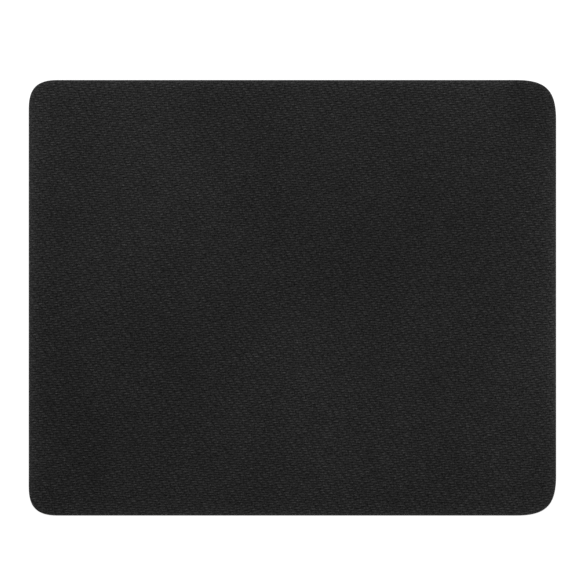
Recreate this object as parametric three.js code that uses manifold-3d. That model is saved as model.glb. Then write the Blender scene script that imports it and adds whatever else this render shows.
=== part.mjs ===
// Mouse pad: a twill cloth face bonded to a moulded sponge rubber base, die-cut through in one stroke.
// Millimetres, +Z up. The origin lies on the desk, under the middle of the pad, and +X is its long side.
import * as THREE from "three";
import Module from "manifold-3d";

// Outline of the cutting die. A corner is one curve: reach runs from the corner point to where the curve
// meets the straight side, and handle from the corner point to the curve's control points.
const PAD_LENGTH = 230;
const PAD_WIDTH = 190;
const LEFT_CORNER_REACH = 12.6;
const LEFT_CORNER_HANDLE = 3.65;
const RIGHT_CORNER_REACH = 17.4;
const RIGHT_CORNER_HANDLE = 4.5;

// Layers, from the desk up.
const BASE_THICKNESS = 2.4;
const FILM_THICKNESS = 0.1;
const CLOTH_THICKNESS = 0.5;

// Cut edge. The rubber is squeezed while it is cut, so the wall springs back hollow, and the blade draws the
// cloth's upper edge down into a small round.
const CUT_DISH = 0.25;
const CLOTH_EDGE_RADIUS = 0.4;

// Tread moulded in the underside: wavy ribs with V grooves between them, running off at the cut edge.
const RIB_PITCH = 6;
const GROOVE_WIDTH = 2;
const GROOVE_DEPTH = 0.3;
const WAVE_LENGTH = 46;
const WAVE_SWING = 4;

// Finishes, all black and matt.
const RUBBER = { color: 0x151516, roughness: 0.9, metalness: 0 };
const FILM = { color: 0x2e2e2c, roughness: 0.6, metalness: 0 };
const CLOTH = { color: 0x242424, roughness: 0.95, metalness: 0 };

// Facets.
const CORNER_STEPS = 14;
const WALL_STEPS = 6;
const EDGE_STEPS = 5;
const STEPS_PER_WAVE = 8;

// How far the groove cutters run past the surfaces that they cut through.
const CUTTER_OVERRUN = 1;

// A corner drawn in by an inset keeps its centre, so its curve shrinks with it. HANDLE_SHRINK is what a
// quarter circle's control points do, and holds closely for these fuller corners too.
const HANDLE_SHRINK = 0.4477;

const filmFloor = BASE_THICKNESS;
const clothFloor = filmFloor + FILM_THICKNESS;
const padTop = clothFloor + CLOTH_THICKNESS;

const wasm = await Module();
wasm.setup();

// The pad's outline drawn in by an inset, anticlockwise from the left end of the near side.
function outline(inset) {
  const x = PAD_LENGTH / 2 - inset;
  const y = PAD_WIDTH / 2 - inset;
  const leftReach = LEFT_CORNER_REACH - inset;
  const leftHandle = LEFT_CORNER_HANDLE - inset * HANDLE_SHRINK;
  const rightReach = RIGHT_CORNER_REACH - inset;
  const rightHandle = RIGHT_CORNER_HANDLE - inset * HANDLE_SHRINK;
  const shape = new THREE.Shape();
  shape.moveTo(leftReach - x, -y);
  shape.lineTo(x - rightReach, -y);
  shape.bezierCurveTo(x - rightHandle, -y, x, rightHandle - y, x, rightReach - y);
  shape.lineTo(x, y - rightReach);
  shape.bezierCurveTo(x, y - rightHandle, x - rightHandle, y, x - rightReach, y);
  shape.lineTo(leftReach - x, y);
  shape.bezierCurveTo(leftHandle - x, y, -x, y - leftHandle, -x, y - leftReach);
  shape.lineTo(-x, leftReach - y);
  shape.bezierCurveTo(-x, leftHandle - y, leftHandle - x, -y, leftReach - x, -y);
  return shape;
}

function outlinePoints(inset) {
  const points = outline(inset).getPoints(CORNER_STEPS);
  points.pop(); // the last point closes the outline on the first
  return points;
}

// How far the cut wall lies inside the outline at a height.
function wallInset(z) {
  return CUT_DISH * Math.sin((Math.PI * z) / padTop);
}

// A closed solid skinned over a row of closed loops, all with the same number of points.
// Each loop runs anticlockwise seen from beyond the last one, and the first and last loops are capped.
function skin(loops, capFaces) {
  const count = loops[0].length;
  const last = (loops.length - 1) * count;
  const index = [];
  for (let ring = 0; ring < last; ring += count) {
    for (let i = 0; i < count; i++) {
      const next = (i + 1) % count;
      index.push(ring + i, ring + next, ring + count + next);
      index.push(ring + i, ring + count + next, ring + count + i);
    }
  }
  for (const [a, b, c] of capFaces) {
    index.push(c, b, a, last + a, last + b, last + c);
  }
  const geometry = new THREE.BufferGeometry();
  geometry.setAttribute("position", new THREE.Float32BufferAttribute(loops.flat(2), 3));
  geometry.setIndex(index);
  return geometry;
}

// A layer of the pad, skinned over copies of the outline, each with its own inset and height.
function layer(rings) {
  const loops = rings.map(({ inset, z }) => outlinePoints(inset).map((p) => [p.x, p.y, z]));
  const capFaces = THREE.ShapeUtils.triangulateShape(outlinePoints(rings[0].inset), []);
  return skin(loops, capFaces);
}

function solidOf(geometry) {
  return new wasm.Manifold(
    new wasm.Mesh({
      numProp: 3,
      vertProperties: geometry.getAttribute("position").array,
      triVerts: new Uint32Array(geometry.index.array),
    }),
  );
}

function geometryOf(solid) {
  const { vertProperties, triVerts } = solid.getMesh();
  const geometry = new THREE.BufferGeometry();
  geometry.setAttribute("position", new THREE.BufferAttribute(vertProperties, 3));
  geometry.setIndex(new THREE.BufferAttribute(triVerts, 1));
  return geometry;
}

// The cutter for one groove: a V section that follows the wave along the pad, past both ends.
function grooveCutter(middleY) {
  const half = GROOVE_WIDTH / 2;
  const section = [
    [half, -CUTTER_OVERRUN],
    [half, 0],
    [0, GROOVE_DEPTH],
    [-half, 0],
    [-half, -CUTTER_OVERRUN],
  ];
  const step = WAVE_LENGTH / STEPS_PER_WAVE;
  const steps = Math.ceil((PAD_LENGTH / 2 + CUTTER_OVERRUN) / step);
  const loops = [];
  for (let i = -steps; i <= steps; i++) {
    const x = i * step;
    const y = middleY + WAVE_SWING * Math.sin((2 * Math.PI * x) / WAVE_LENGTH);
    loops.push(section.map(([across, z]) => [x, y + across, z]));
  }
  const contour = section.map(([across, z]) => new THREE.Vector2(across, z));
  return skin(loops, THREE.ShapeUtils.triangulateShape(contour, []));
}

// The moulded base: its cut wall, less the grooves on both sides of the rib along the middle line.
function rubberBase() {
  const rings = [];
  for (let i = 0; i <= WALL_STEPS; i++) {
    const z = (filmFloor * i) / WALL_STEPS;
    rings.push({ inset: wallInset(z), z });
  }
  let base = solidOf(layer(rings));
  const furthest = PAD_WIDTH / 2 + WAVE_SWING + GROOVE_WIDTH / 2;
  for (let y = RIB_PITCH / 2; y < furthest; y += RIB_PITCH) {
    base = base.subtract(solidOf(grooveCutter(y)));
    base = base.subtract(solidOf(grooveCutter(-y)));
  }
  return geometryOf(base);
}

function bondFilm() {
  return layer([filmFloor, clothFloor].map((z) => ({ inset: wallInset(z), z })));
}

// The cloth face, with its upper edge rounded over as far as its thickness allows.
function clothFace() {
  const radius = Math.min(CLOTH_EDGE_RADIUS, CLOTH_THICKNESS);
  const roundFloor = padTop - radius;
  const rings = [];
  if (roundFloor > clothFloor) {
    rings.push({ inset: wallInset(clothFloor), z: clothFloor });
  }
  for (let i = 0; i <= EDGE_STEPS; i++) {
    const turn = ((Math.PI / 2) * i) / EDGE_STEPS;
    rings.push({
      inset: wallInset(roundFloor) + radius * (1 - Math.cos(turn)),
      z: roundFloor + radius * Math.sin(turn),
    });
  }
  return layer(rings);
}

function piece(name, geometry, finish) {
  geometry.computeVertexNormals();
  const mesh = new THREE.Mesh(geometry, new THREE.MeshStandardMaterial(finish));
  mesh.name = name;
  return mesh;
}

const pad = new THREE.Group();
pad.name = "mouse_pad";
pad.add(piece("rubber_base", rubberBase(), RUBBER));
pad.add(piece("bond_film", bondFilm(), FILM));
pad.add(piece("cloth_face", clothFace(), CLOTH));

export default pad;
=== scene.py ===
"""Looks of a cloth mouse pad: a twill face on a sponge rubber base, on a pale floor. Metres, +Z up."""
import math

import bpy
import numpy as np
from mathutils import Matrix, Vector
from mathutils.geometry import delaunay_2d_cdt


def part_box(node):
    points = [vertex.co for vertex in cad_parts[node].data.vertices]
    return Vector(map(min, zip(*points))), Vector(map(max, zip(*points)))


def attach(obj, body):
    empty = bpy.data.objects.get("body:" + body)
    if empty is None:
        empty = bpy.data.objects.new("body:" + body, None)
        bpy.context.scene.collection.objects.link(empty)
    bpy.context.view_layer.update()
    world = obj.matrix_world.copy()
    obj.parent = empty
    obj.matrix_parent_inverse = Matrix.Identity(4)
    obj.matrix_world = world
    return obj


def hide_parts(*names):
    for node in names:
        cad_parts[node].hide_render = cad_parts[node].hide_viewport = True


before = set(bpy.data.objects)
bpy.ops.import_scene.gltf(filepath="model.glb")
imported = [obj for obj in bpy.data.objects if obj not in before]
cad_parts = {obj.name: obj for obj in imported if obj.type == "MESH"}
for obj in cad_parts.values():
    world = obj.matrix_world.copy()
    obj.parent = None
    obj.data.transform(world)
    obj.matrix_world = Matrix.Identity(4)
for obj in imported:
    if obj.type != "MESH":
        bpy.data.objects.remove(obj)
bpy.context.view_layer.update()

MM = 0.001
WHITE = (1, 1, 1, 1)
RANDOM_SEED = 7

# Outline corners, as in the solids: from the corner point to the end and the control points of its curve.
# An inset takes all of itself off the way to the end, and this share off the way to the control points.
LEFT_CORNER = np.array((12.6, 3.65)) * MM
RIGHT_CORNER = np.array((17.4, 4.5)) * MM
HANDLE_SHRINK = 0.4477

# Cut edge, as in the solids. The turns say where rings lie on the cloth's rounded edge, in degrees.
CUT_DISH = 0.25 * MM
CLOTH_EDGE_RADIUS = 0.4 * MM
CLOTH_EDGE_TURNS = (65, 40, 15)

# Twill: each pick floats over three ends and dips under the fourth, one end further right than the pick
# above. The step is a share of the repeat. The knuckles and the unevenness are shares of the height.
FLOAT_REPEAT = 3.48 * MM
PICK_PITCH = 1.036 * MM
PICK_TILT = math.radians(4.1)
TWILL_STEP = 0.266
FLOAT_HEIGHT = 0.28 * MM
KNUCKLE_VALLEY = 0.45
KNUCKLE_CREST = 0.65
FLOAT_UNEVENNESS = 0.25

# The weave strays from its lattice in a few long waves, steadier along the picks than across them.
DRIFT = 0.15 * MM
DRIFT_WAVES = 5
DRIFT_SHORTEST = 40 * MM
DRIFT_LONGEST = 100 * MM
DRIFT_ALONG = 0.3

# Points of the weave: two a float, and on each pick its crest, shoulder, valley and shoulder. The lattice
# is tilted and skewed, so it is laid out larger than the pad by the margins.
COLUMN_STEP = 0.5
ROWS_IN_PICK = (0, 0.3, 0.5, 0.7)
PICK_MARGIN = 1.2
FLOAT_MARGIN = 1.1
CLOTH_RIM_SPACING = 1.2 * MM
RIM_CLEARANCE = 0.3 * MM

# Along the cut the blade presses the weave down and flat. The level is a share of the floats' height.
EDGE_DROP = 0.12 * MM
EDGE_FADE = 1.2 * MM
EDGE_PRESS = 0.9
PRESSED_LEVEL = 0.63

# The pressed margin is calmer and lighter than the rest, most at the two ends and least at the corners. The
# cut through the cloth is lighter still, by a share of its own.
EDGE_CALM = 0.5 * MM
EDGE_LIGHT = 0.36
EDGE_LIGHT_MORE = 0.18
EDGE_LIGHT_REACH = 1.6 * MM
EDGE_LIGHT_REACH_MORE = 1.6 * MM
CORNER_DULLING = 0.6
CORNER_DULLING_REACH = 14 * MM
CUT_LIGHT = 1.4

# Tread under the base, as in the solids.
RIB_PITCH = 6 * MM
GROOVE_WIDTH = 2 * MM
GROOVE_DEPTH = 0.3 * MM
WAVE_LENGTH = 46 * MM
WAVE_SWING = 4 * MM

# Points of the base: columns along the tread, spacing round the rim and rings up the wall, which the cut
# leaves rough. The inward step finds the way in from the outline, and edges past the angle stay sharp.
TREAD_COLUMN = 2.3 * MM
BASE_RIM_SPACING = 0.5 * MM
WALL_RINGS = 9
CUT_ROUGHNESS = 0.03 * MM
INWARD_STEP = 0.1 * MM
SHARP_ANGLE = math.radians(50)

# Triangles are kept inside the rim alone, and points nearer than this share of a lattice step count as one.
INSIDE_RIM = 1
SAME_POINT = 1e-7

# Flat map of a piece: its walls are folded outwards, each ring by this much, and its hidden cap is shrunk.
UNFOLD = 0.4 * MM
CAP_SHARE = 0.012

# Tones of the twill, as shares of the cloth's black. The yarns are all one black, so this pattern is
# painted light
# and shade: painted shade darkens the gaps between yarns, and the floats and knuckles are lighter partly by
# a painted highlight on their crowns.
CLOTH_BLACK = 0.01475
GAP_PAINTED_SHADE = 0.45
FLOAT_TONE_AND_HIGHLIGHT = 0.975
KNUCKLE_TONE = 0.355
RIM_TONE = 0.96

# How far the twill's irregularities spread those tones, and how fine they are.
GAP_SPREAD = 1.95
FLOAT_SPREAD = 0.5
FIBRE_SPREAD = 1.9
SLUB_SPREAD = 1.6
MOTTLE_SPREAD = 0.8
FIBRES_PER_STEP = (4, 3, 1)
FIBRE_DETAIL = 2
SLUB_SIZE = 0.6 * MM
SLUB_DETAIL = 1
MOTTLE_SIZE = 115 * MM
MOTTLE_STRETCH = (1.6, 1, 1)
MOTTLE_DETAIL = 4

# Painted shading of a float and a knuckle: lean and shift in steps of the weave, and powers that narrow
# them.
FLOAT_SKEW = 0.49
FLOAT_JITTER = 0.18
FLOAT_EVENNESS = 0.7
YARN_ROUNDNESS = 1.25
KNUCKLE_SHIFT = 0.05
KNUCKLE_NARROWNESS = 4.6

# Finish of the twill: gloss, the fuzz's sheen, and the bump of its yarns and fibres.
CLOTH_ROUGHNESS = 0.78
FIBRE_ROUGHNESS = 0.2
CLOTH_SPECULAR = 0.02
CLOTH_SHEEN = 0.004
SHEEN_ROUGHNESS = 0.5
FIBRE_RELIEF = 0.3
YARN_BUMP = 0.5
YARN_BUMP_DEPTH = 0.2 * MM

# Rubber: the cut with its open cells, the moulded skin with its grain, and clouds over both.
CUT_BLACK = 0.008
CELL_SIZE = 0.22 * MM
CELL_SPREAD = 1.8
SKIN_BLACK = 0.013
GRAIN_SIZE = 0.5 * MM
GRAIN_DETAIL = 3
GRAIN_SPREAD = 1.2
CLOUD_SIZE = 9 * MM
CLOUD_DETAIL = 3
CLOUD_SPREAD = 0.7
RUBBER_ROUGHNESS = 0.6
RELIEF_ROUGHNESS = 0.3
RUBBER_SPECULAR = 0.09
RUBBER_BUMP = 0.8
RUBBER_BUMP_DEPTH = 0.15 * MM

# Adhesive film, seen only as a line in the cut.
FILM_BLACK = 0.045
FILM_STREAK_SIZE = 1.5 * MM
FILM_STREAK_DETAIL = 3
FILM_STREAK_SPREAD = 0.9
FILM_ROUGHNESS = 0.55
FILM_SPECULAR = 0.2

# The photograph: its side in pixels, the size of a pixel at the pad's top, and how many pixels the pad lies
# off its centre. The lens and the sensor are in millimetres.
PHOTO_SIDE = 585
PHOTO_SCALE = 0.43537 * MM
PAD_LEFT = 0.08
PAD_BELOW = 5.27
LENS = 100
SENSOR = 36

# Floor: how many times as wide as the pad it is, the spacing of its points round the pad, and its look.
FLOOR_SPREAD = 35
FLOOR_RIM_SPACING = 3 * MM
FLOOR_WHITE = 0.15
FLOOR_GLOW = 0.95
FLOOR_ROUGHNESS = 0.9
FLOOR_SPECULAR = 0.1

# Light: a bright horizon that fades into a softer sky between two elevations, given by their sines, and
# one broad lamp beyond the far side.
HORIZON_LIGHT = 1.0
SKY_LIGHT = 0.55
HORIZON_SINE = 0.15
SKY_SINE = 0.4
KEY_PLACE = Vector((-0.03, 0.95, 0.85))
KEY_SIZE = 0.5
KEY_WATTS = 18

_, base_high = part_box("rubber_base")
cloth_low, cloth_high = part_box("cloth_face")
half_length = base_high.x
half_width = base_high.y
pad_top = cloth_high.z

dice = np.random.default_rng(RANDOM_SEED)


# Outline

def corner_curve(corner, come, go, reach, handle, steps):
    """A corner of the outline, coming in along one direction and going out along another."""
    share = np.linspace(0, 1, steps, endpoint=False)[:, None]
    rest = 1 - share
    start, end = corner - reach * come, corner + reach * go
    before, after = corner - handle * come, corner + handle * go
    return rest**3 * start + 3 * rest**2 * share * before + 3 * rest * share**2 * after + share**3 * end


def outline(inset, spacing):
    """The outline drawn in by an inset, anticlockwise, with the same number of points for every inset."""
    x, y = half_length - inset, half_width - inset
    east, north = np.array((1, 0)), np.array((0, 1))
    turns = [
        (x * east - y * north, east, north, RIGHT_CORNER),
        (x * east + y * north, north, -east, RIGHT_CORNER),
        (y * north - x * east, -east, -north, LEFT_CORNER),
        (-x * east - y * north, -north, east, LEFT_CORNER),
    ]
    points = []
    for (corner, come, go, sizes), (other, _, _, other_sizes) in zip(turns, turns[1:] + turns[:1]):
        reach, handle = sizes - inset * np.array((1, HANDLE_SHRINK))
        turn_steps = round(math.pi / 2 * sizes[0] / spacing)
        points.append(corner_curve(corner, come, go, reach, handle, turn_steps))
        start, end = corner + reach * go, other - (other_sizes[0] - inset) * go
        side_steps = round(np.linalg.norm(end - start) / spacing)
        points.append(start + np.linspace(0, 1, side_steps, endpoint=False)[:, None] * (end - start))
    return np.vstack(points)


def wall_inset(z):
    """How far the cut wall lies inside the outline at a height."""
    return CUT_DISH * np.sin(math.pi * z / pad_top)


def within(points, inset):
    """Which points lie inside the outline drawn in by an inset. Its near side mirrors its far side."""
    loop = outline(inset, BASE_RIM_SPACING)
    upper = loop[loop[:, 1] > 0]
    upper = upper[np.argsort(upper[:, 0])]
    top = np.interp(points[:, 0], upper[:, 0], upper[:, 1])
    return (np.abs(points[:, 0]) < half_length - inset) & (np.abs(points[:, 1]) < top)


def corner_radius(corner):
    """Radius of the circle that touches both sides and goes through the middle of a corner's curve."""
    reach, handle = corner
    return (3 * handle + reach) / 8 * math.sqrt(2) / (math.sqrt(2) - 1)


def side_distances(points):
    """How far each point lies from the nearer end and from the nearer long side."""
    return half_length - np.abs(points[:, 0]), half_width - np.abs(points[:, 1])


def edge_distance(points):
    """How far inside the outline each point lies, with each corner taken as a circle."""
    from_end, from_side = side_distances(points)
    corner = np.where(points[:, 0] < 0, corner_radius(LEFT_CORNER), corner_radius(RIGHT_CORNER))
    in_corner = (from_end < corner) & (from_side < corner)
    round_off = corner - np.hypot(corner - from_end, corner - from_side)
    return np.where(in_corner, round_off, np.minimum(from_end, from_side))


# Meshes

def triangles_within(points, rim):
    """Triangles over the points and out to the rim, in lattice steps so that they follow the lattice."""
    both = [Vector(p) for p in np.vstack([points, rim])]
    first = len(points)
    edges = [(first + i, first + (i + 1) % len(rim)) for i in range(len(rim))]
    return delaunay_2d_cdt(both, edges, [], INSIDE_RIM, SAME_POINT)[2]


def mesh_object(name, points, faces):
    mesh = bpy.data.meshes.new(name)
    mesh.from_pydata(points.tolist(), [], faces)
    made = bpy.data.objects.new(name, mesh)
    bpy.context.scene.collection.objects.link(made)
    return made


def closed_piece(name, surface, triangles, loops, spacing, faces_down=False):
    """A closed mesh: a surface whose last points are its rim, a wall through the loops, and a flat cap."""
    count = len(loops[0])
    faces = list(triangles)
    first = len(surface) - count
    for number in range(len(loops)):
        second = len(surface) + number * count
        for i in range(count):
            j = (i + 1) % count
            faces.append((first + i, second + i, second + j, first + j))
        first = second
    faces.append(tuple(range(first + count - 1, first - 1, -1)))
    if faces_down:
        faces = [tuple(reversed(face)) for face in faces]
    piece = mesh_object(name, np.vstack([surface, *loops]), faces)
    piece.data.shade_smooth()
    piece.data.polygons[len(faces) - 1].use_smooth = False
    add_flat_map(piece.data, surface[:, :2], len(loops), spacing)
    return piece


def add_flat_map(mesh, plan, rings, spacing):
    """A closed piece's map: its surface in plan, its wall unfolded round it, its cap small in a corner."""
    unfolded = [outline(-UNFOLD * (number + 1), spacing) for number in range(rings)]
    margin = UNFOLD * (rings + 1)
    half_map = np.array((half_length + margin, half_width + margin))
    places = 0.5 + np.vstack([plan, *unfolded]) / half_map / 2
    corners = np.empty(len(mesh.loops), np.int32)
    mesh.loops.foreach_get("vertex_index", corners)
    flat = places[corners]
    cap = slice(len(corners) - len(unfolded[0]), None)
    flat[cap] = flat[cap] * CAP_SHARE + (1 - CAP_SHARE, 0)
    layer = mesh.uv_layers.new(name="OFBake")
    layer.uv.foreach_set("vector", flat.astype(np.float32).ravel())


def set_value(piece, name, values):
    """A number for each point of a piece, for its material to read."""
    layer = piece.data.attributes.new(name, "FLOAT", "POINT")
    layer.data.foreach_set("value", np.asarray(values, np.float32))


def set_vector(piece, name, values):
    """A vector for each point of a piece, for its material to read."""
    layer = piece.data.attributes.new(name, "FLOAT_VECTOR", "POINT")
    layer.data.foreach_set("vector", np.asarray(values, np.float32).ravel())


# Cloth

ALONG_PICK = FLOAT_REPEAT * np.array((math.cos(PICK_TILT), -math.sin(PICK_TILT)))
NEXT_PICK = PICK_PITCH * np.array((-math.sin(PICK_TILT), -math.cos(PICK_TILT))) + TWILL_STEP * ALONG_PICK
WEAVE = np.column_stack([ALONG_PICK, NEXT_PICK])


def wander():
    """How far points stray one way: a smooth random field over the pad, as a function of points."""
    turn, phase = dice.uniform(0, 2 * math.pi, (2, DRIFT_WAVES))
    waves = np.array((DRIFT_ALONG * np.cos(turn), np.sin(turn)))
    waves *= 2 * math.pi / dice.uniform(DRIFT_SHORTEST, DRIFT_LONGEST, DRIFT_WAVES)

    def field(points):
        return np.sin(points @ waves + phase).sum(axis=1) * DRIFT / math.sqrt(DRIFT_WAVES / 2)

    return field


def weave_lattice():
    """The weave's points over the pad, as (float, pick) places. A float is centred on each whole place."""
    picks = math.ceil(half_width / PICK_PITCH * PICK_MARGIN)
    floats = math.ceil((half_length + half_width) / FLOAT_REPEAT * FLOAT_MARGIN)
    columns = np.arange(-floats, floats, COLUMN_STEP)
    rows = (np.arange(-picks, picks)[:, None] + np.array(ROWS_IN_PICK)).ravel()
    along, down = np.meshgrid(columns, rows)
    return np.column_stack([along.ravel(), down.ravel()])


def lattice_steps(lattice):
    """The same places counted in columns and rows of points."""
    pick = np.floor(lattice[:, 1])
    row = np.interp(lattice[:, 1] - pick, (*ROWS_IN_PICK, 1), range(len(ROWS_IN_PICK) + 1))
    return np.column_stack([lattice[:, 0] / COLUMN_STEP, -(pick * len(ROWS_IN_PICK) + row)])


def weave_points(top_inset):
    """The weave's points, its rim last, as places and in plan, their triangles, and the rim's count."""
    drift_x, drift_y = wander(), wander()
    lattice = weave_lattice()
    points = lattice @ WEAVE.T
    points = points + np.column_stack([drift_x(points), drift_y(points)])
    kept = within(points, top_inset + RIM_CLEARANCE)
    lattice, points = lattice[kept], points[kept]
    rim = outline(top_inset, CLOTH_RIM_SPACING)
    rim_lattice = (rim - np.column_stack([drift_x(rim), drift_y(rim)])) @ np.linalg.inv(WEAVE).T
    triangles = triangles_within(lattice_steps(lattice), lattice_steps(rim_lattice))
    return np.vstack([lattice, rim_lattice]), np.vstack([points, rim]), triangles, len(rim)


def chance_per_float(lattice):
    """One random number for each float, given to every point of it."""
    nearest = np.round(lattice).astype(int)
    nearest -= nearest.min(axis=0)
    return dice.uniform(size=nearest.max(axis=0) + 1)[nearest[:, 0], nearest[:, 1]]


def weave_height(lattice):
    """Height of the twill over its valleys, with each float sunk a little by its own share."""
    sunk = chance_per_float(lattice)
    floating = 0.5 + 0.5 * np.cos(2 * math.pi * lattice[:, 0])
    ridge = np.sqrt(np.abs(np.cos(math.pi * lattice[:, 1])))
    knuckle = KNUCKLE_VALLEY + (KNUCKLE_CREST - KNUCKLE_VALLEY) * ridge
    return FLOAT_HEIGHT * (floating * ridge * (1 - FLOAT_UNEVENNESS * sunk) + (1 - floating) * knuckle)


def cloth_height(lattice, distance):
    """Height of the cloth's surface: the weave, pressed down and flat near its edge."""
    pressed = np.exp(-distance / EDGE_FADE)
    flat = FLOAT_HEIGHT * PRESSED_LEVEL
    relief = weave_height(lattice) - flat
    height = flat + relief * (1 - EDGE_PRESS * pressed) - EDGE_DROP * pressed
    return pad_top - FLOAT_HEIGHT + height


def edge_light(points, distance):
    """How much lighter the cloth is at each point than far from its edge."""
    from_end, from_side = side_distances(points)
    at_end = from_side / (from_end + from_side)
    reach = EDGE_LIGHT_REACH + EDGE_LIGHT_REACH_MORE * at_end
    in_corner = np.exp(-np.maximum(from_end, from_side) / CORNER_DULLING_REACH)
    most = (EDGE_LIGHT + EDGE_LIGHT_MORE * at_end) * (1 - CORNER_DULLING * in_corner)
    return most * np.exp(-distance / reach)


def cloth_wall(rim_height, top_inset):
    """Rings from the cloth's rim round its pressed edge and down the cut."""
    round_floor = pad_top - CLOTH_EDGE_RADIUS
    loops = []
    for turn in CLOTH_EDGE_TURNS:
        angle = math.radians(turn)
        points = outline(top_inset - CLOTH_EDGE_RADIUS * math.cos(angle), CLOTH_RIM_SPACING)
        loops.append(np.column_stack([points, round_floor + (rim_height - round_floor) * math.sin(angle)]))
    foot = outline(wall_inset(cloth_low.z), CLOTH_RIM_SPACING)
    loops.append(np.column_stack([foot, np.full(len(foot), cloth_low.z)]))
    return loops


def make_cloth():
    top_inset = wall_inset(pad_top - CLOTH_EDGE_RADIUS) + CLOTH_EDGE_RADIUS
    lattice, points, triangles, on_rim = weave_points(top_inset)
    distance = np.maximum(edge_distance(points) - top_inset, 0)
    surface = np.column_stack([points, cloth_height(lattice, distance)])
    loops = cloth_wall(surface[-on_rim:, 2], top_inset)
    cloth = closed_piece("cloth_twill", surface, triangles, loops, CLOTH_RIM_SPACING)

    weave = np.vstack([lattice] + [lattice[-on_rim:]] * len(loops))
    set_vector(cloth, "weave", np.column_stack([weave, np.zeros(len(weave))]))
    light = edge_light(points, distance)
    cut_light = np.tile(light[-on_rim:], len(loops)) + CUT_LIGHT
    set_value(cloth, "edge_light", np.concatenate([light, cut_light]))
    calm = np.exp(-distance / EDGE_CALM)
    set_value(cloth, "edge_calm", np.concatenate([calm, np.ones(len(cut_light))]))
    return cloth


# Rubber base

def wave(x):
    """How far the tread's ribs swing sideways."""
    return WAVE_SWING * np.sin(2 * math.pi * x / WAVE_LENGTH)


def rows_in_rib():
    """Rows of points in a rib, as shares of it: its crest, and the lips, slopes and floor of its groove."""
    lip = GROOVE_WIDTH / 2 / RIB_PITCH
    return np.array((0, 0.5 - lip, 0.5 - lip / 2, 0.5, 0.5 + lip / 2, 0.5 + lip))


def tread_points():
    """Points over the tread, inside its rim, and how many ribs each lies from the middle one."""
    most_ribs = math.ceil((half_width + WAVE_SWING) / RIB_PITCH)
    most_columns = math.floor(half_length / TREAD_COLUMN)
    rows = (np.arange(-most_ribs, most_ribs)[:, None] + rows_in_rib()).ravel()
    x, ribs = np.meshgrid(np.arange(-most_columns, most_columns + 1) * TREAD_COLUMN, rows)
    x, ribs = x.ravel(), ribs.ravel()
    points = np.column_stack([x, ribs * RIB_PITCH + wave(x)])
    kept = within(points, RIM_CLEARANCE)
    return points[kept], ribs[kept]


def tread_depth(ribs):
    """Depth of the tread's grooves, by distance in ribs from the middle of a rib."""
    from_groove = np.abs(ribs - np.floor(ribs) - 0.5) * RIB_PITCH
    share = np.clip(from_groove / (GROOVE_WIDTH / 2), 0, 1)
    return GROOVE_DEPTH * (0.5 + 0.5 * np.cos(math.pi * share))


def base_wall(start):
    """Rings up the cut wall, from the heights at which the tread runs off it to the film."""
    outer = outline(0, BASE_RIM_SPACING)
    inward = (outline(INWARD_STEP, BASE_RIM_SPACING) - outer) / INWARD_STEP
    loops = []
    for number in range(1, WALL_RINGS + 1):
        z = start + (base_high.z - start) * number / WALL_RINGS
        roughness = CUT_ROUGHNESS if number < WALL_RINGS else 0
        inset = wall_inset(z) + dice.uniform(-1, 1, len(z)) * roughness
        loops.append(np.column_stack([outer + inward * inset[:, None], z]))
    return loops


def make_base():
    points, ribs = tread_points()
    rim = outline(0, BASE_RIM_SPACING)
    rim_ribs = (rim[:, 1] - wave(rim[:, 0])) / RIB_PITCH
    steps = np.array((1 / TREAD_COLUMN, len(rows_in_rib())))
    lattice = np.column_stack([points[:, 0], ribs]) * steps
    rim_lattice = np.column_stack([rim[:, 0], rim_ribs]) * steps
    triangles = triangles_within(lattice, rim_lattice)

    depth = tread_depth(np.concatenate([ribs, rim_ribs]))
    surface = np.column_stack([np.vstack([points, rim]), depth])
    loops = base_wall(depth[len(points):])
    base = closed_piece("base_sponge", surface, triangles, loops, BASE_RIM_SPACING, faces_down=True)
    base.data.set_sharp_from_angle(angle=SHARP_ANGLE)
    on_wall = len(rim) * len(loops)
    set_value(base, "skin", np.concatenate([np.ones(len(surface)), np.zeros(on_wall)]))
    return base


# Material nodes

def add(tree, kind, inputs=None, **settings):
    """A node with its settings, its inputs being numbers, colours or other nodes' outputs."""
    made = tree.nodes.new(kind)
    for name, value in settings.items():
        setattr(made, name, value)
    for name, value in (inputs or {}).items():
        if isinstance(value, bpy.types.NodeSocket):
            tree.links.new(value, made.inputs[name])
        else:
            made.inputs[name].default_value = value
    return made


def calc(tree, operation, *values):
    return add(tree, "ShaderNodeMath", dict(enumerate(values)), operation=operation).outputs[0]


def vector_calc(tree, operation, *values):
    return add(tree, "ShaderNodeVectorMath", dict(enumerate(values)), operation=operation).outputs[0]


def axes_of(tree, vector):
    return add(tree, "ShaderNodeSeparateXYZ", {"Vector": vector}).outputs


def mix(tree, share, first, second):
    """The first value where the share is 0, the second where it is 1."""
    return add(tree, "ShaderNodeMix", {"Factor": share, "A": first, "B": second}).outputs["Result"]


def attribute(tree, name, output="Fac"):
    return add(tree, "ShaderNodeAttribute", attribute_name=name).outputs[output]


def object_place(tree):
    return add(tree, "ShaderNodeTexCoord").outputs["Object"]


def noise(tree, vector, size, detail):
    inputs = {"Vector": vector, "Scale": 1 / size, "Detail": detail}
    return add(tree, "ShaderNodeTexNoise", inputs).outputs["Fac"]


def vary(tree, value, factor, spread):
    """A value made lighter and darker by a factor that runs from 0 to 1."""
    return calc(tree, "MULTIPLY", value, calc(tree, "MULTIPLY_ADD", factor, spread, 1 - spread / 2))


def new_material(name):
    material = bpy.data.materials.new(name)
    material.use_nodes = True
    tree = material.node_tree
    return material, tree, tree.nodes["Principled BSDF"]


def set_grey(tree, shader, value):
    colour = add(tree, "ShaderNodeCombineColor", {"Red": value, "Green": value, "Blue": value})
    tree.links.new(colour.outputs[0], shader.inputs["Base Color"])


def set_bump(tree, shader, height, strength, distance):
    bump = add(tree, "ShaderNodeBump", {"Height": height, "Strength": strength, "Distance": distance})
    tree.links.new(bump.outputs[0], shader.inputs["Normal"])


# Materials

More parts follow.
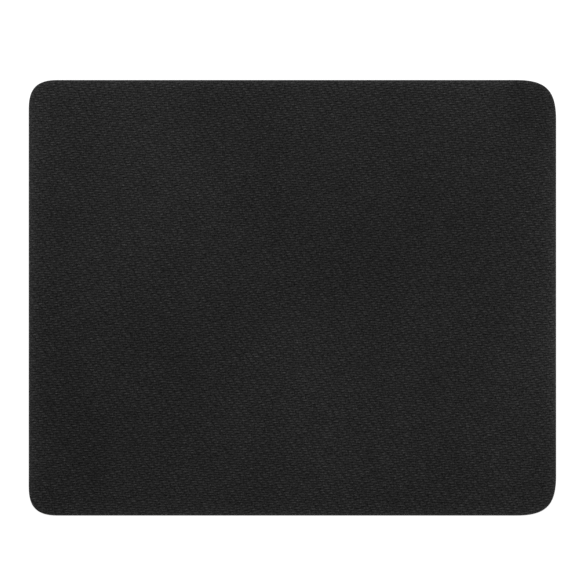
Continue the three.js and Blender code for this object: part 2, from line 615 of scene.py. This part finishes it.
def yarn_nodes(tree, weave):
    """How much of a float and how much of a knuckle each point shows, and how light its float is, for the
    twill's painted light and shade.
    """
    half = (0.5, 0.5, 0.5)
    nearest = vector_calc(tree, "FLOOR", vector_calc(tree, "ADD", weave, half))
    chance = add(tree, "ShaderNodeTexWhiteNoise", {"Vector": nearest}, noise_dimensions="3D")
    chance = axes_of(tree, vector_calc(tree, "SUBTRACT", chance.outputs["Color"], half))
    offset = axes_of(tree, vector_calc(tree, "SUBTRACT", weave, nearest))
    along = calc(tree, "MULTIPLY_ADD", chance["X"], FLOAT_JITTER, offset["X"])
    across = calc(tree, "MULTIPLY_ADD", chance["Y"], FLOAT_JITTER, offset["Y"])
    across = calc(tree, "MULTIPLY_ADD", along, FLOAT_SKEW, across)
    floating = calc(tree, "COSINE", calc(tree, "MULTIPLY", along, 2 * math.pi))
    floating = calc(tree, "MULTIPLY_ADD", floating, 0.5, 0.5)
    crown = calc(tree, "ABSOLUTE", calc(tree, "COSINE", calc(tree, "MULTIPLY", across, math.pi)))
    crown = calc(tree, "POWER", crown, YARN_ROUNDNESS)
    float_part = calc(tree, "MULTIPLY", calc(tree, "POWER", floating, FLOAT_EVENNESS), crown)
    knuckle = calc(tree, "SINE", calc(tree, "MULTIPLY", calc(tree, "ADD", along, KNUCKLE_SHIFT), math.pi))
    knuckle_part = calc(tree, "POWER", calc(tree, "ABSOLUTE", knuckle), KNUCKLE_NARROWNESS)
    # Each float's lightness, partly a painted highlight, uneven from float to float.
    shade = calc(tree, "MULTIPLY_ADD", chance["Z"], FLOAT_SPREAD, FLOAT_TONE_AND_HIGHLIGHT)
    return float_part, knuckle_part, shade


def cloth_material():
    """Black twill with its weave's light and shade painted in: floats lightened partly by a painted
    highlight, dimmer knuckles and gaps darkened by painted shade, all uneven, and a calm lighter margin.
    """
    material, tree, shader = new_material("black_twill")
    place = object_place(tree)
    weave = attribute(tree, "weave", "Vector")
    float_part, knuckle_part, shade = yarn_nodes(tree, weave)
    fibre = noise(tree, vector_calc(tree, "MULTIPLY", weave, FIBRES_PER_STEP), 1, FIBRE_DETAIL)
    slub = noise(tree, place, SLUB_SIZE, SLUB_DETAIL)
    mottle = noise(tree, vector_calc(tree, "MULTIPLY", place, MOTTLE_STRETCH), MOTTLE_SIZE, MOTTLE_DETAIL)

    # Painted shade and highlight: the gaps keep their dark tone, and floats and knuckles add their painted
    # light.
    tone = calc(tree, "MULTIPLY_ADD", float_part, shade, vary(tree, GAP_PAINTED_SHADE, slub, GAP_SPREAD))
    tone = calc(tree, "MULTIPLY_ADD", knuckle_part, KNUCKLE_TONE, tone)
    to_rim = calc(tree, "SUBTRACT", RIM_TONE, tone)
    tone = calc(tree, "MULTIPLY_ADD", to_rim, attribute(tree, "edge_calm"), tone)
    tone = vary(tree, tone, fibre, FIBRE_SPREAD)
    tone = vary(tree, tone, slub, SLUB_SPREAD)
    tone = vary(tree, tone, mottle, MOTTLE_SPREAD)
    tone = calc(tree, "MULTIPLY_ADD", tone, attribute(tree, "edge_light"), tone)
    set_grey(tree, shader, calc(tree, "MULTIPLY", tone, CLOTH_BLACK))
    roughness = calc(tree, "MULTIPLY_ADD", fibre, FIBRE_ROUGHNESS, CLOTH_ROUGHNESS)
    tree.links.new(roughness, shader.inputs["Roughness"])
    shader.inputs["Specular IOR Level"].default_value = CLOTH_SPECULAR
    shader.inputs["Sheen Weight"].default_value = CLOTH_SHEEN
    shader.inputs["Sheen Roughness"].default_value = SHEEN_ROUGHNESS
    relief = calc(tree, "MULTIPLY_ADD", fibre, FIBRE_RELIEF, float_part)
    set_bump(tree, shader, relief, YARN_BUMP, YARN_BUMP_DEPTH)
    return material


def rubber_material():
    """Sponge rubber: open cells where it is cut, and a grained skin where it was moulded."""
    material, tree, shader = new_material("sponge_rubber")
    place = object_place(tree)
    skin = attribute(tree, "skin")
    cells = add(tree, "ShaderNodeTexVoronoi", {"Vector": place, "Scale": 1 / CELL_SIZE}).outputs["Distance"]
    grain = noise(tree, place, GRAIN_SIZE, GRAIN_DETAIL)
    cloud = noise(tree, place, CLOUD_SIZE, CLOUD_DETAIL)
    cut_tone = vary(tree, CUT_BLACK, cells, CELL_SPREAD)
    skin_tone = vary(tree, SKIN_BLACK, grain, GRAIN_SPREAD)
    tone = mix(tree, skin, cut_tone, skin_tone)
    set_grey(tree, shader, vary(tree, tone, cloud, CLOUD_SPREAD))
    relief = mix(tree, skin, cells, grain)
    roughness = calc(tree, "MULTIPLY_ADD", relief, RELIEF_ROUGHNESS, RUBBER_ROUGHNESS)
    tree.links.new(roughness, shader.inputs["Roughness"])
    shader.inputs["Specular IOR Level"].default_value = RUBBER_SPECULAR
    set_bump(tree, shader, relief, RUBBER_BUMP, RUBBER_BUMP_DEPTH)
    return material


def film_material():
    material, tree, shader = new_material("bond_film")
    streak = noise(tree, object_place(tree), FILM_STREAK_SIZE, FILM_STREAK_DETAIL)
    set_grey(tree, shader, vary(tree, FILM_BLACK, streak, FILM_STREAK_SPREAD))
    shader.inputs["Roughness"].default_value = FILM_ROUGHNESS
    shader.inputs["Specular IOR Level"].default_value = FILM_SPECULAR
    return material


def floor_material(name, glow):
    material, _, shader = new_material(name)
    shader.inputs["Base Color"].default_value = (FLOOR_WHITE, FLOOR_WHITE, FLOOR_WHITE, 1)
    shader.inputs["Roughness"].default_value = FLOOR_ROUGHNESS
    shader.inputs["Specular IOR Level"].default_value = FLOOR_SPECULAR
    shader.inputs["Emission Color"].default_value = WHITE
    shader.inputs["Emission Strength"].default_value = glow
    return material


# Stage

def make_floor():
    """A wide floor that glows, apart from the patch that lies in the shade of the pad."""
    shade = outline(0, FLOOR_RIM_SPACING)
    count = len(shade)
    points = np.vstack([shade, shade * FLOOR_SPREAD])
    faces = [(i, count + i, count + (i + 1) % count, (i + 1) % count) for i in range(count)]
    faces.append(tuple(range(count)))
    floor = mesh_object("floor", np.column_stack([points, np.zeros(len(points))]), faces)
    floor.data.materials.append(floor_material("pale_floor", FLOOR_GLOW))
    floor.data.materials.append(floor_material("shaded_floor", 0))
    floor.data.polygons[count].material_index = 1


def make_world():
    """Soft light from all round, brightest near the horizon."""
    world = bpy.data.worlds.new("studio")
    world.use_nodes = True
    tree = world.node_tree
    direction = add(tree, "ShaderNodeTexCoord").outputs["Generated"]
    sine = calc(tree, "ABSOLUTE", axes_of(tree, direction)["Z"])
    limits = {"From Min": HORIZON_SINE, "From Max": SKY_SINE, "To Min": HORIZON_LIGHT, "To Max": SKY_LIGHT}
    light = add(tree, "ShaderNodeMapRange", {"Value": sine, **limits}).outputs["Result"]
    background = tree.nodes["Background"]
    background.inputs["Color"].default_value = WHITE
    tree.links.new(light, background.inputs["Strength"])
    bpy.context.scene.world = world


def make_key():
    """A broad lamp that faces the pad."""
    data = bpy.data.lights.new("key", "AREA")
    data.shape = "DISK"
    data.size = KEY_SIZE
    data.energy = KEY_WATTS
    lamp = bpy.data.objects.new("key", data)
    lamp.location = KEY_PLACE
    lamp.rotation_euler = (-KEY_PLACE).to_track_quat("-Z", "Y").to_euler()
    bpy.context.scene.collection.objects.link(lamp)


def make_camera():
    """A camera that looks straight down, as high as its lens needs for the photograph's frame."""
    data = bpy.data.cameras.new("camera")
    data.lens = LENS
    data.sensor_width = SENSOR
    camera = bpy.data.objects.new("camera", data)
    distance = PHOTO_SIDE * PHOTO_SCALE * LENS / SENSOR
    camera.location = (PAD_LEFT * PHOTO_SCALE, PAD_BELOW * PHOTO_SCALE, pad_top + distance)
    bpy.context.scene.collection.objects.link(camera)
    bpy.context.scene.camera = camera


# The dressed part

def dress(piece, material):
    piece.data.materials.clear()
    piece.data.materials.append(material)


make_camera()
make_floor()
make_world()
make_key()
bpy.context.scene.view_settings.view_transform = "Standard"

cloth = make_cloth()
dress(cloth, cloth_material())
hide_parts("cloth_face")
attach(cloth, "root")

base = make_base()
dress(base, rubber_material())
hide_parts("rubber_base")
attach(base, "root")

dress(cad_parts["bond_film"], film_material())
